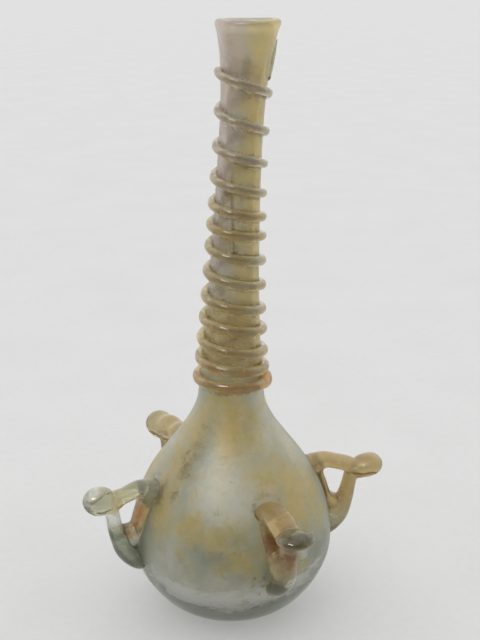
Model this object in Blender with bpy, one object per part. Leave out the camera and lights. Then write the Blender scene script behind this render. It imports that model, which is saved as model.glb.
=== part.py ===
"""Glass unguentarium: a blown flask with a spiral trail round its long neck and four folded trail handles.

Metres, +Z up. The origin is the centre of the flat underside, and the front handle points along -Y.
"""
import math

import bmesh
import bpy
from mathutils import Vector

# Outline of the vessel
HEIGHT = 0.240
FOOT_RADIUS = 0.018
BODY_RADIUS = 0.0421
BODY_WIDEST_Z = 0.030
NECK_FOOT_RADIUS = 0.01346
NECK_FOOT_Z = 0.094
NECK_RADIUS = 0.00825
NECK_SLIM_Z = 0.200
RIM_RADIUS = 0.0119

# Run of the curves between those heights: the neck's slope at its foot and the lip's slope at the rim,
# as radius over height, and how far each curve keeps straight on from its ends, as a share of its length
NECK_SLOPE = 0.13
RIM_SLOPE = 0.046
FOOT_RUN = 0.47
BELLY_RUN_DOWN = 0.43
BELLY_RUN_UP = 0.52
SHOULDER_RUN = 0.306
NECK_FOOT_RUN = 0.30
NECK_SLIM_RUN = 0.10
MOUTH_RUN = 0.75
RIM_RUN = 0.13

# The body stands upright, and the neck leans sideways from its foot: how far at the rim, and which way
LEAN = 0.0067
LEAN_START_Z = 0.085
LEAN_HEADING = math.radians(-25)
LEAN_POWER = 1.6

# Thickness of the glass
BASE_THICKNESS = 0.0055
BODY_WALL = 0.0022
NECK_WALL = 0.0024

# Applied glass keeps this gap to the wall
CLEARANCE = 0.0003

# Spiral trail: the height of its first and last turn, its thickness at both ends, and its tail
TRAIL_START_Z = 0.1010
TRAIL_END_Z = 0.2208
TRAIL_START_HEADING = math.radians(-5)
TRAIL_START_DEPTH = 0.0031
TRAIL_END_DEPTH = 0.0024
TRAIL_START_WIDTH = 0.0045
TRAIL_END_WIDTH = 0.0035
TRAIL_TILT = 0.0005
TAIL_TOP_Z = 0.2325
TAIL_DEPTH = 0.0013
TAIL_WIDTH = 0.0020
TAIL_DIP = 0.0030
TAIL_LEVEL_TURN = math.radians(165)
TAIL_CLIMB_TURN = math.radians(14)

# Rise of each turn against the others: the first ones lie close, the last ones are drawn apart
TURN_RISES = (0.50, 0.73, 0.97, 0.89, 1.05, 1.06, 1.06, 0.80, 0.96, 1.20, 1.29, 1.49, 1.55)
TRAIL_TURNS = 12.55
LEVEL_START = 0.55

# Handles: heading round the body in degrees, heights of strap and knob, and reach of knob and lower
# limb beyond the body
HANDLES = {
    "left": {"heading": 180.0, "strap_z": 0.0588, "knob_z": 0.0570, "knob_height": 0.0112,
             "knob_reach": 0.0220, "limb_reach": 0.0090},
    "front": {"heading": -90.0, "strap_z": 0.0580, "knob_z": 0.0562, "knob_height": 0.0076,
              "knob_reach": 0.0220, "limb_reach": 0.0090},
    "right": {"heading": -11.0, "strap_z": 0.0582, "knob_z": 0.0537, "knob_height": 0.0096,
              "knob_reach": 0.0250, "limb_reach": 0.0093},
    "back": {"heading": 99.0, "strap_z": 0.0595, "knob_z": 0.0572, "knob_height": 0.0110,
             "knob_reach": 0.0238, "limb_reach": 0.0086},
}

# Handles: what all four share
LOOP_FLOOR_Z = 0.0420
PAD_FOOT_Z = 0.0232
KNOB_WIDTH = 0.0115
KNOB_LENGTH = 0.0125
STRAP_THICKNESS = 0.0058
STRAP_WIDTH = 0.0084
STRAND_THICKNESS = 0.0034
STRAND_WIDTH = 0.0080
LIMB_THICKNESS = 0.0060
LIMB_WIDTH = 0.0076
PAD_WIDTH = 0.0105
FOLD_SLOT = 0.0007
FOLD_SLOT_END = 0.0045
FOLD_SLOT_DROP = 0.18
FOLD_SLOT_COVER = 0.0010

# Facets
VESSEL_SIDES = 38
LIP_STEPS = 5
TRAIL_SIDES_PER_TURN = 18
TRAIL_FACES = 4
ROD_SIDES = 8


def bezier(start, first, second, end, count):
    """Points of a cubic curve after its start, as (radius, height)."""
    points = []
    for i in range(1, count + 1):
        t = i / count
        weights = ((1 - t) ** 3, 3 * (1 - t) ** 2 * t, 3 * (1 - t) * t * t, t ** 3)
        corners = (start, first, second, end)
        points.append(tuple(sum(w * c[k] for w, c in zip(weights, corners)) for k in (0, 1)))
    return points


def outline(under=6, shoulder=8, neck=6, mouth=4):
    """Outer profile from the edge of the underside to the rim, as (radius, height)."""
    spread = BODY_RADIUS - FOOT_RADIUS
    rise = NECK_FOOT_Z - BODY_WIDEST_Z
    slim = NECK_SLIM_Z - NECK_FOOT_Z
    rim_z = HEIGHT - NECK_WALL / 2
    flare = rim_z - NECK_SLIM_Z
    foot = (FOOT_RADIUS, 0.0)
    widest = (BODY_RADIUS, BODY_WIDEST_Z)
    neck_foot = (NECK_FOOT_RADIUS, NECK_FOOT_Z)
    waist = (NECK_RADIUS, NECK_SLIM_Z)
    rim = (RIM_RADIUS, rim_z)
    foot_pull = (FOOT_RADIUS + FOOT_RUN * spread, 0.0)
    belly_pull = (BODY_RADIUS, BODY_WIDEST_Z - BELLY_RUN_DOWN * BODY_WIDEST_Z)
    belly_rise = (BODY_RADIUS, BODY_WIDEST_Z + BELLY_RUN_UP * rise)
    shoulder_pull = (NECK_FOOT_RADIUS + NECK_SLOPE * SHOULDER_RUN * rise, NECK_FOOT_Z - SHOULDER_RUN * rise)
    neck_pull = (NECK_FOOT_RADIUS - NECK_SLOPE * NECK_FOOT_RUN * slim, NECK_FOOT_Z + NECK_FOOT_RUN * slim)
    waist_pull = (NECK_RADIUS, NECK_SLIM_Z - NECK_SLIM_RUN * slim)
    mouth_pull = (NECK_RADIUS, NECK_SLIM_Z + MOUTH_RUN * flare)
    rim_pull = (RIM_RADIUS - RIM_SLOPE * RIM_RUN * flare, rim_z - RIM_RUN * flare)
    points = [foot]
    points += bezier(foot, foot_pull, belly_pull, widest, under)
    points += bezier(widest, belly_rise, shoulder_pull, neck_foot, shoulder)
    points += bezier(neck_foot, neck_pull, waist_pull, waist, neck)
    points += bezier(waist, mouth_pull, rim_pull, rim, mouth)
    return points


def wall_at(z):
    """Thickness of the glass at a height: heavy below, thin in the body, a little thicker in the neck."""
    if z < BODY_WIDEST_Z:
        return BODY_WALL + (BASE_THICKNESS - BODY_WALL) * (1 - z / BODY_WIDEST_Z) ** 2
    up = min(1.0, (z - BODY_WIDEST_Z) / (NECK_FOOT_Z - BODY_WIDEST_Z))
    return BODY_WALL + (NECK_WALL - BODY_WALL) * up


def shifted(points, distance_at):
    """A profile moved along its outward normals by a distance that depends on the height."""
    moved = []
    last = len(points) - 1
    for i, (radius, z) in enumerate(points):
        before = points[max(i - 1, 0)]
        after = points[min(i + 1, last)]
        along = Vector((after[0] - before[0], after[1] - before[1])).normalized()
        normal = Vector((0.0, -1.0)) if i == 0 else Vector((along.y, -along.x))
        step = normal * distance_at(z)
        moved.append((radius + step.x, z + step.y))
    return moved


def axis_at(z):
    """Where the vessel's axis passes at a height: upright in the body, leaning more and more above it."""
    share = max(0.0, z - LEAN_START_Z) / (HEIGHT - LEAN_START_Z)
    aside = LEAN * share ** LEAN_POWER
    return Vector((aside * math.cos(LEAN_HEADING), aside * math.sin(LEAN_HEADING), z))


FINE_OUTLINE = outline(40, 60, 60, 30)


def radius_at(z):
    """Outer radius of the vessel at a height."""
    for low, high in zip(FINE_OUTLINE, FINE_OUTLINE[1:]):
        if z <= high[1]:
            part = max(0.0, (z - low[1]) / (high[1] - low[1]))
            return low[0] + (high[0] - low[0]) * part
    return FINE_OUTLINE[-1][0]


def on_wall(heading, z, out):
    """The point at a heading and a height, and so far out from the vessel's outer face."""
    reach = radius_at(z) + out
    return axis_at(z) + Vector((reach * math.cos(heading), reach * math.sin(heading), 0.0))


def skin(mesh, rings, end_tip=None):
    """Faces between rings of vertices, closed by a flat face at each end, or by a fan to a tip at the last."""
    for low, high in zip(rings, rings[1:]):
        sides = len(low)
        for k in range(sides):
            nxt = (k + 1) % sides
            mesh.faces.new((low[k], low[nxt], high[nxt], high[k]))
    mesh.faces.new(reversed(rings[0]))
    last = rings[-1]
    if end_tip is None:
        mesh.faces.new(last)
        return
    centre = mesh.verts.new(end_tip)
    for k in range(len(last)):
        mesh.faces.new((centre, last[k], last[(k + 1) % len(last)]))


def new_object(name, mesh):
    """An object from a bmesh, shaded smooth, with its faces pointing out."""
    bmesh.ops.recalc_face_normals(mesh, faces=mesh.faces)
    data = bpy.data.meshes.new(name)
    mesh.to_mesh(data)
    mesh.free()
    item = bpy.data.objects.new(name, data)
    bpy.context.scene.collection.objects.link(item)
    data.shade_smooth()
    data.set_sharp_from_angle(angle=math.radians(40))
    return item


def glass(name, colour, roughness):
    """A plain weathered glass for one piece."""
    material = bpy.data.materials.new(name)
    material.use_nodes = True
    shader = material.node_tree.nodes["Principled BSDF"]
    shader.inputs["Base Color"].default_value = (*colour, 1.0)
    shader.inputs["Roughness"].default_value = roughness
    shader.inputs["Metallic"].default_value = 0.0
    shader.inputs["IOR"].default_value = 1.5
    return material


def turned_rings(mesh, profile, sides):
    """Level rings of vertices round the leaning axis, one for each point of a profile."""
    rings = []
    for radius, z in profile:
        centre = axis_at(z)
        ring = []
        for k in range(sides):
            turn = 2 * math.pi * k / sides
            spoke = Vector((radius * math.cos(turn), radius * math.sin(turn), 0.0))
            ring.append(mesh.verts.new(centre + spoke))
        rings.append(ring)
    return rings


def rim_arc(outer, inner, steps):
    """Points over the rounded lip, between the last outer and the last inner point."""
    middle = Vector(((outer[0] + inner[0]) / 2, (outer[1] + inner[1]) / 2))
    half = (outer[0] - inner[0]) / 2
    arc = []
    for i in range(1, steps):
        turn = math.pi * i / steps
        arc.append((middle.x + half * math.cos(turn), middle.y + NECK_WALL / 2 * math.sin(turn)))
    return arc


def build_vessel():
    """The blown flask: outer wall, rounded lip and inner wall in one closed skin."""
    outer = outline()
    inner = shifted(outer, lambda z: -wall_at(z))
    inner[-1] = (outer[-1][0] - NECK_WALL, outer[-1][1])
    profile = outer + rim_arc(outer[-1], inner[-1], LIP_STEPS) + inner[::-1]
    mesh = bmesh.new()
    rings = turned_rings(mesh, profile, VESSEL_SIDES)
    skin(mesh, rings, end_tip=axis_at(BASE_THICKNESS))
    vessel = new_object("vessel", mesh)
    vessel.data.materials.append(glass("vessel_glass", (0.47, 0.44, 0.29), 0.28))


def trail_climb(turn):
    """How far the trail has climbed after so many turns, in units of TURN_RISES."""
    whole = min(int(turn), len(TURN_RISES) - 1)
    part = turn - whole
    if whole == 0:
        part = max(0.0, (part - LEVEL_START) / (1 - LEVEL_START))
        part = part * part * (2 - part)
    return sum(TURN_RISES[:whole]) + TURN_RISES[whole] * part


def trail_height(turn):
    """Height of the trail's middle after so many turns."""
    return TRAIL_START_Z + (TRAIL_END_Z - TRAIL_START_Z) * trail_climb(turn) / trail_climb(TRAIL_TURNS)


def trail_path():
    """Stations along the trail, as (heading, height, width, depth)."""
    steps = round(TRAIL_TURNS * TRAIL_SIDES_PER_TURN)
    stations = []
    for i in range(steps + 1):
        share = i / steps
        turn = TRAIL_TURNS * share
        heading = TRAIL_START_HEADING - 2 * math.pi * turn
        z = trail_height(turn) - TRAIL_TILT * math.cos(heading - LEAN_HEADING)
        grow = min(1.0, 0.6 + 4.0 * turn)
        width = (TRAIL_START_WIDTH + (TRAIL_END_WIDTH - TRAIL_START_WIDTH) * share) * grow
        depth = (TRAIL_START_DEPTH + (TRAIL_END_DEPTH - TRAIL_START_DEPTH) * share) * grow
        stations.append((heading, z, width, depth))
    return stations + tail_path(*stations[-1])


def tail_path(heading, z, width, depth):
    """The trail's thin tail: it sinks a little behind the neck, then turns straight up the wall."""
    level_steps = 8
    climb_steps = 7
    stations = []
    for i in range(1, level_steps + 1):
        share = i / level_steps
        ease = share * share * (3 - 2 * share)
        stations.append((heading - TAIL_LEVEL_TURN * share, z - TAIL_DIP * ease,
                         width + (TAIL_WIDTH - width) * ease, depth + (TAIL_DEPTH - depth) * ease))
    turned = heading - TAIL_LEVEL_TURN
    low = z - TAIL_DIP
    for i in range(1, climb_steps + 1):
        share = i / climb_steps
        fade = 1 - 0.75 * share ** 3
        stations.append((turned - TAIL_CLIMB_TURN * math.sin(share * math.pi / 2),
                         low + (TAIL_TOP_Z - low) * share ** 1.3, TAIL_WIDTH * fade, TAIL_DEPTH * fade))
    return stations


def build_trail():
    """The spiral trail, a half-round rope laid on the wall and swept along its path."""
    stations = trail_path()
    flat_gap = 1 / math.cos(math.pi / TRAIL_SIDES_PER_TURN)
    mesh = bmesh.new()
    rings = []
    for i, (heading, z, width, depth) in enumerate(stations):
        before = stations[max(i - 1, 0)]
        after = stations[min(i + 1, len(stations) - 1)]
        radius = radius_at(z)
        along = Vector(((after[0] - before[0]) * radius, after[1] - before[1])).normalized()
        ring = []
        for k in range(TRAIL_FACES + 1):
            turn = math.pi * (k / TRAIL_FACES - 0.5)
            aside = width / 2 * math.sin(turn)
            at_z = z + along.x * aside
            at_heading = heading - along.y * aside / radius
            gap = (radius_at(at_z) + CLEARANCE) * flat_gap - radius_at(at_z)
            ring.append(mesh.verts.new(on_wall(at_heading, at_z, gap + depth * math.cos(turn))))
        rings.append(ring)
    skin(mesh, rings)
    trail = new_object("neck_thread", mesh)
    trail.data.materials.append(glass("neck_thread_glass", (0.50, 0.42, 0.24), 0.22))


def smooth_stations(stations, per_span):
    """A smooth curve through hand-set stations of any number of values each."""
    count = len(stations)
    curve = []
    for i in range(count - 1):
        a = stations[max(i - 1, 0)]
        b, c = stations[i], stations[i + 1]
        d = stations[min(i + 2, count - 1)]
        for step in range(per_span):
            t = step / per_span
            curve.append(tuple(0.5 * (2 * q + (r - p) * t + (2 * p - 5 * q + 4 * r - s) * t * t
                                      + (3 * q - p - 3 * r + s) * t ** 3) for p, q, r, s in zip(a, b, c, d)))
    curve.append(tuple(stations[-1]))
    return curve


def rod(name, stations, per_span):
    """A closed rod of oval section in the XZ plane, from (x, z, thickness, width) stations."""
    curve = smooth_stations(stations, per_span)
    last = len(curve) - 1
    mesh = bmesh.new()
    rings = []
    for i, (x, z, thickness, width) in enumerate(curve):
        before = curve[max(i - 1, 0)]
        after = curve[min(i + 1, last)]
        along = Vector((after[0] - before[0], 0.0, after[1] - before[1])).normalized()
        across = Vector((along.z, 0.0, -along.x))
        ring = []
        for k in range(ROD_SIDES):
            turn = 2 * math.pi * (k + 0.5) / ROD_SIDES
            point = Vector((x, 0.0, z)) + across * (thickness / 2 * math.cos(turn))
            ring.append(mesh.verts.new(point + Vector((0.0, width / 2 * math.sin(turn), 0.0))))
        rings.append(ring)
    skin(mesh, rings)
    return new_object(name, mesh)


def slot_height(side):
    """Height of the slot between the folded layers of a knob."""
    form = HANDLES[side]
    return form["knob_z"] - FOLD_SLOT_DROP * form["knob_height"]


def handle_rods(side):
    """The three rods of one handle, drawn at heading 0: strap and knob, lower limb, strand up the body."""
    form = HANDLES[side]
    strap_z, knob_z, knob_height = form["strap_z"], form["knob_z"], form["knob_height"]
    knob_tip = BODY_RADIUS + form["knob_reach"]
    knob_back = knob_tip - KNOB_LENGTH
    limb_x = BODY_RADIUS + form["limb_reach"]
    root = radius_at(strap_z)
    pad = radius_at(PAD_FOOT_Z)
    strap = rod(f"handle_{side}", (
        (root + 0.0005, strap_z - 0.0012, 1.15 * STRAP_THICKNESS, STRAP_WIDTH),
        (root + 0.0062, strap_z + 0.0002, 1.10 * STRAP_THICKNESS, STRAP_WIDTH),
        (root + 0.0115, strap_z - 0.0012, STRAP_THICKNESS, STRAP_WIDTH),
        (knob_back - 0.0030, 0.5 * (strap_z + knob_z) - 0.0010, 1.05 * STRAP_THICKNESS, STRAP_WIDTH),
        (knob_back + 0.0005, knob_z - 0.0012, 0.5 * (STRAP_THICKNESS + knob_height), 0.85 * KNOB_WIDTH),
        (knob_tip - 0.0085, knob_z - 0.0004, knob_height, KNOB_WIDTH),
        (knob_tip - 0.0045, knob_z + 0.0002, 0.97 * knob_height, 0.96 * KNOB_WIDTH),
        (knob_tip - 0.0016, knob_z + 0.0003, 0.66 * knob_height, 0.64 * KNOB_WIDTH),
        (knob_tip, knob_z + 0.0003, 0.18 * knob_height, 0.18 * KNOB_WIDTH)), 2)
    limb_top = slot_height(side) - FOLD_SLOT / 2 - FOLD_SLOT_COVER
    limb = rod(f"limb_{side}", (
        (pad + 0.0006, PAD_FOOT_Z + 0.0002, 0.0022, 0.5 * PAD_WIDTH),
        (pad + 0.0022, PAD_FOOT_Z + 0.0036, 1.10 * LIMB_THICKNESS, 0.92 * PAD_WIDTH),
        (limb_x - 0.0038, PAD_FOOT_Z + 0.0095, 1.35 * LIMB_THICKNESS, PAD_WIDTH),
        (limb_x - 0.0010, LOOP_FLOOR_Z - 0.0025, 1.15 * LIMB_THICKNESS, 0.5 * (PAD_WIDTH + LIMB_WIDTH)),
        (limb_x + 0.0004, LOOP_FLOOR_Z + 0.0030, LIMB_THICKNESS, LIMB_WIDTH),
        (limb_x + 0.0014, limb_top - 0.0028, 0.95 * LIMB_THICKNESS, LIMB_WIDTH),
        (limb_x + 0.0020, limb_top, 0.90 * LIMB_THICKNESS, LIMB_WIDTH)), 2)
    middle_z = 0.5 * (strap_z + LOOP_FLOOR_Z)
    under_z = LOOP_FLOOR_Z - 0.0050
    foot_z = PAD_FOOT_Z + 0.0080
    strand = rod(f"strand_{side}", (
        (root + 0.0046, strap_z + 0.0002, 0.8 * STRAND_THICKNESS, 0.7 * STRAND_WIDTH),
        (root + 0.0046, strap_z - 0.0040, STRAND_THICKNESS, 0.9 * STRAND_WIDTH),
        (radius_at(middle_z) + 0.0009, middle_z - 0.0010, STRAND_THICKNESS, STRAND_WIDTH),
        (radius_at(LOOP_FLOOR_Z) + 0.0009, LOOP_FLOOR_Z, 1.05 * STRAND_THICKNESS, STRAND_WIDTH),
        (radius_at(under_z) + 0.0035, under_z, 1.9 * STRAND_THICKNESS, STRAND_WIDTH),
        (radius_at(foot_z) + 0.0030, foot_z, 1.3 * STRAND_THICKNESS, STRAND_WIDTH)), 2)
    return strap, limb, strand


def guide(item):
    """Marks a cutter or a joined piece as no part of the model."""
    item.hide_render = True
    item.display_type = "WIRE"
    item.hide_set(True)


def fold_slot(side):
    """The slot between the folded layers of a knob, from the loop to just short of the tip."""
    form = HANDLES[side]
    start = BODY_RADIUS + form["limb_reach"] - 0.75 * LIMB_THICKNESS
    end = BODY_RADIUS + form["knob_reach"] - FOLD_SLOT_END
    mesh = bmesh.new()
    bmesh.ops.create_cube(mesh, size=1.0)
    bmesh.ops.scale(mesh, vec=(end - start, 2 * KNOB_WIDTH, FOLD_SLOT), verts=mesh.verts)
    bmesh.ops.translate(mesh, vec=((start + end) / 2, 0.0, 0.0), verts=mesh.verts)
    slot = new_object(f"fold_slot_{side}", mesh)
    slot.location.z = slot_height(side)
    return slot


def cut(item, tool, operation):
    """One exact Boolean step."""
    step = item.modifiers.new(f"{operation.lower()} {tool.name}", "BOOLEAN")
    step.operation = operation
    step.solver = "EXACT"
    step.object = tool
    return step


def wall_cutter():
    """The vessel's outer shape grown by the clearance, which trims whatever is laid on the body."""
    grown = shifted(outline(), lambda z: CLEARANCE)
    mesh = bmesh.new()
    skin(mesh, turned_rings(mesh, grown, VESSEL_SIDES))
    cutter = new_object("wall_cutter", mesh)
    guide(cutter)
    return cutter


def build_handle(side, cutter):
    """One folded handle: its rods joined, the fold slotted, and its back trimmed to the body."""
    handle, limb, strand = handle_rods(side)
    slot = fold_slot(side)
    for piece in (handle, limb, strand, slot):
        piece.rotation_euler.z = math.radians(HANDLES[side]["heading"])
    cut(handle, limb, "UNION")
    cut(handle, strand, "UNION")
    cut(handle, slot, "DIFFERENCE")
    cut(handle, cutter, "DIFFERENCE")
    for piece in (limb, strand, slot):
        guide(piece)
    handle.data.materials.append(glass(f"handle_{side}_glass", (0.46, 0.47, 0.36), 0.18))


def main():
    for item in list(bpy.data.objects):
        bpy.data.objects.remove(item, do_unlink=True)
    build_vessel()
    build_trail()
    cutter = wall_cutter()
    for side in HANDLES:
        build_handle(side, cutter)


main()
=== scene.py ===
"""Weathered glass unguentarium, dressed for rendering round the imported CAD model. Metres, +Z up."""
import math

import bmesh
import bpy
import numpy as np
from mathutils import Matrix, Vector, noise


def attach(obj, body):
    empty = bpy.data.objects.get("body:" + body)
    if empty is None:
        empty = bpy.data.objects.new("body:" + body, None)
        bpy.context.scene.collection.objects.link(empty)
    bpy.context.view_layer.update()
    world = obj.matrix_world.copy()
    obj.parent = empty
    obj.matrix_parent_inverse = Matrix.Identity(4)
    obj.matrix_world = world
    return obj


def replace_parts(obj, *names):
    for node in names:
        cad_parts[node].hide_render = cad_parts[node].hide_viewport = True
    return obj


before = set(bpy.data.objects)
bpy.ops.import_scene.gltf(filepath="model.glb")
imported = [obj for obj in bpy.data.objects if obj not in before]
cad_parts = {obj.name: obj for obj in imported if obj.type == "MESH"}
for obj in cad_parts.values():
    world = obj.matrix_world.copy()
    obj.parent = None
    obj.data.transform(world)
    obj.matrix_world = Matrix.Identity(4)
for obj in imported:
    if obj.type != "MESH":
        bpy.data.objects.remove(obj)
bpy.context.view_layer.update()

# The CAD model's sizes, which the finer pieces follow: metres and, for headings, radians
HEIGHT = 0.240
FOOT_RADIUS = 0.018
BODY_RADIUS = 0.0421
BODY_WIDEST_Z = 0.030
NECK_FOOT_RADIUS = 0.01346
NECK_FOOT_Z = 0.094
NECK_RADIUS = 0.00825
NECK_SLIM_Z = 0.200
RIM_RADIUS = 0.0119
NECK_SLOPE = 0.13
RIM_SLOPE = 0.046
LEAN = 0.0067
LEAN_START_Z = 0.085
LEAN_HEADING = math.radians(-25)
LEAN_POWER = 1.6
BASE_THICKNESS = 0.0055
BODY_WALL = 0.0022
NECK_WALL = 0.0024
TRAIL_START_Z = 0.1010
TRAIL_END_Z = 0.2208
TRAIL_START_HEADING = math.radians(-5)
TRAIL_START_DEPTH = 0.0031
TRAIL_END_DEPTH = 0.0024
TRAIL_START_WIDTH = 0.0045
TRAIL_END_WIDTH = 0.0035
TRAIL_TILT = 0.0005
TAIL_TOP_Z = 0.2325
TAIL_DEPTH = 0.0013
TAIL_WIDTH = 0.0020
TAIL_DIP = 0.0030
TAIL_TURN = math.radians(165)
TAIL_DRIFT = math.radians(14)
TURN_RISES = (0.50, 0.73, 0.97, 0.89, 1.05, 1.06, 1.06, 0.80, 0.96, 1.20, 1.29, 1.49, 1.55)
TRAIL_TURNS = 12.55
LEVEL_START = 0.55
HANDLES = {
    "left": {"heading": 180.0, "strap_z": 0.0588, "knob_z": 0.0570, "knob_height": 0.0112,
             "knob_reach": 0.0220, "limb_reach": 0.0090},
    "front": {"heading": -90.0, "strap_z": 0.0580, "knob_z": 0.0562, "knob_height": 0.0076,
              "knob_reach": 0.0220, "limb_reach": 0.0090},
    "right": {"heading": -11.0, "strap_z": 0.0582, "knob_z": 0.0537, "knob_height": 0.0096,
              "knob_reach": 0.0250, "limb_reach": 0.0093},
    "back": {"heading": 99.0, "strap_z": 0.0595, "knob_z": 0.0572, "knob_height": 0.0110,
             "knob_reach": 0.0238, "limb_reach": 0.0086},
}
LOOP_FLOOR_Z = 0.0420
PAD_FOOT_Z = 0.0232
KNOB_WIDTH = 0.0115
KNOB_LENGTH = 0.0125
STRAP_THICKNESS = 0.0058
STRAP_WIDTH = 0.0084
STRAND_THICKNESS = 0.0034
STRAND_WIDTH = 0.0080
LIMB_THICKNESS = 0.0060
LIMB_WIDTH = 0.0076
PAD_WIDTH = 0.0105
FOLD_SLOT_END = 0.0045

# Finer meshes
VESSEL_SIDES = 130
TRAIL_STEPS_PER_TURN = 64
TRAIL_SECTION = 22
TAIL_LEVEL_STEPS = 32
TAIL_CLIMB_STEPS = 40
ROD_SIDES = 24
VOXEL = 0.00034
SOFTEN_ROUNDS = 15
# How far a handle is pressed into the wall
EMBED = 0.00015
# The trail rests this far off the wall, so that it keeps its own gloss underneath
TRAIL_LIFT = 0.00003
# The fat drop that the trail starts in sits this much higher
DROP_RISE = 0.0019
# How much fuller than the solid each strap is, and how far it is raised
STRAP_FULLNESS = {"left": 1.0, "front": 0.95, "right": 1.08, "back": 1.45}
STRAP_RAISE = {"left": 0.0, "front": 0.0, "right": 0.0, "back": 0.0006}
# How far the knob's fullness runs back along the strap
KNOB_RUN = {"left": 0.0, "front": 0.0, "right": 0.0, "back": 1.0}
STRAP_BREADTH = {"left": 1.0, "front": 1.34, "right": 1.0, "back": 1.34}
KNOB_FLATNESS = {"left": 1.0, "front": 0.80, "right": 1.0, "back": 1.0}
KNOB_BREADTH = {"left": 1.0, "front": 1.22, "right": 1.0, "back": 1.12}
CREASE_DEPTH = {"left": 0.14, "front": 0.10, "right": 0.34, "back": 0.20}
# How dark each fold's crease is painted: dirt and painted shade
CREASE_DIRT = {"left": 0.55, "front": 0.25, "right": 1.10, "back": 0.90}
WEB_THICKNESS = 0.0044
WEB_DROP = {"left": 0.0, "front": 0.0, "right": 0.0030, "back": 0.0}
STRAND_FULLNESS = {"left": 1.5, "front": 1.5, "right": 1.15, "back": 1.3}


def bezier(start, first, second, end, count):
    """Points along a cubic curve, its start left out."""
    t = (np.arange(1, count + 1) / count)[:, None]
    start, first, second, end = (np.array(p, float) for p in (start, first, second, end))
    return (1 - t) ** 3 * start + 3 * (1 - t) ** 2 * t * first + 3 * (1 - t) * t * t * second + t ** 3 * end


def outline(under, shoulder, neck, mouth):
    """Outer profile from the edge of the underside to the rim, rows of (radius, height). The arguments are
    the steps of its four curves."""
    spread = BODY_RADIUS - FOOT_RADIUS
    rise = NECK_FOOT_Z - BODY_WIDEST_Z
    slim = NECK_SLIM_Z - NECK_FOOT_Z
    rim_z = HEIGHT - NECK_WALL / 2
    flare = rim_z - NECK_SLIM_Z
    foot = (FOOT_RADIUS, 0.0)
    widest = (BODY_RADIUS, BODY_WIDEST_Z)
    neck_foot = (NECK_FOOT_RADIUS, NECK_FOOT_Z)
    waist = (NECK_RADIUS, NECK_SLIM_Z)
    rim = (RIM_RADIUS, rim_z)
    return np.vstack([
        [foot],
        bezier(foot, (FOOT_RADIUS + 0.47 * spread, 0.0), (BODY_RADIUS, 0.57 * BODY_WIDEST_Z), widest, under),
        bezier(widest, (BODY_RADIUS, BODY_WIDEST_Z + 0.52 * rise),
               (NECK_FOOT_RADIUS + NECK_SLOPE * 0.306 * rise, NECK_FOOT_Z - 0.306 * rise),
               neck_foot, shoulder),
        bezier(neck_foot, (NECK_FOOT_RADIUS - NECK_SLOPE * 0.30 * slim, NECK_FOOT_Z + 0.30 * slim),
               (NECK_RADIUS, NECK_SLIM_Z - 0.10 * slim), waist, neck),
        bezier(waist, (NECK_RADIUS, NECK_SLIM_Z + 0.75 * flare),
               (RIM_RADIUS - RIM_SLOPE * 0.13 * flare, rim_z - 0.13 * flare), rim, mouth)])


# the outline that radius_at reads
FINE = outline(60, 90, 90, 40)


def radius_at(z):
    """Radius of the outside of the wall at a height."""
    return np.interp(z, FINE[:, 1], FINE[:, 0])


def axis_at(z):
    """Sideways place of the axis at a height, as arrays x and y."""
    share = np.maximum(0.0, np.asarray(z, float) - LEAN_START_Z) / (HEIGHT - LEAN_START_Z)
    aside = LEAN * share ** LEAN_POWER
    return aside * math.cos(LEAN_HEADING), aside * math.sin(LEAN_HEADING)


def wall_at(z):
    """Thickness of the wall at a height."""
    z = np.asarray(z, float)
    low = BODY_WALL + (BASE_THICKNESS - BODY_WALL) * (1 - np.clip(z / BODY_WIDEST_Z, 0, 1)) ** 2
    up = np.clip((z - BODY_WIDEST_Z) / (NECK_FOOT_Z - BODY_WIDEST_Z), 0, 1)
    return np.where(z < BODY_WIDEST_Z, low, BODY_WALL + (NECK_WALL - BODY_WALL) * up)


def smooth(low, high, value):
    """A smooth step from 0 at low to 1 at high."""
    share = np.clip((value - low) / (high - low), 0, 1)
    return share * share * (3 - 2 * share)


def turned(angle):
    """An angle brought to the half turn either side of zero."""
    return (angle + np.pi) % (2 * np.pi) - np.pi


def waves(points, size, seed, octaves=3):
    """Smooth noise about -1 to 1 at rows of points, its features about one size across."""
    out = np.zeros(len(points))
    shift = Vector((seed * 17.3, seed * 5.1, seed * 9.7))
    for i, p in enumerate(points):
        out[i] = noise.fractal(Vector(p) / size + shift, 1.0, 2.0, octaves, noise_basis="PERLIN_NEW")
    return out


def solid_mesh(name, points, faces):
    """Mesh data of a closed form with its faces turned outwards."""
    data = bpy.data.meshes.new(name)
    data.from_pydata([tuple(p) for p in points], [], faces)
    data.update()
    mesh = bmesh.new()
    mesh.from_mesh(data)
    bmesh.ops.recalc_face_normals(mesh, faces=mesh.faces)
    mesh.to_mesh(data)
    mesh.free()
    return data


def placed(name, data):
    """An object in the scene."""
    item = bpy.data.objects.new(name, data)
    bpy.context.scene.collection.objects.link(item)
    return item


def mesh_piece(name, points, faces, material, attributes):
    """A smooth-shaded object with float attributes that its material reads."""
    data = solid_mesh(name, points, faces)
    data.shade_smooth()
    for key, values in attributes.items():
        layer = data.attributes.new(key, "FLOAT", "POINT")
        layer.data.foreach_set("value", np.clip(values, 0, 1).astype(np.float32))
    data.materials.append(material)
    return placed(name, data)


def tube_faces(rings, sides):
    """Faces round a tube of rings, and one over each end."""
    around = [(r * sides + k, r * sides + (k + 1) % sides, (r + 1) * sides + (k + 1) % sides,
               (r + 1) * sides + k) for r in range(rings - 1) for k in range(sides)]
    last = (rings - 1) * sides
    return around + [tuple(range(sides))[::-1], tuple(last + k for k in range(sides))]


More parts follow.
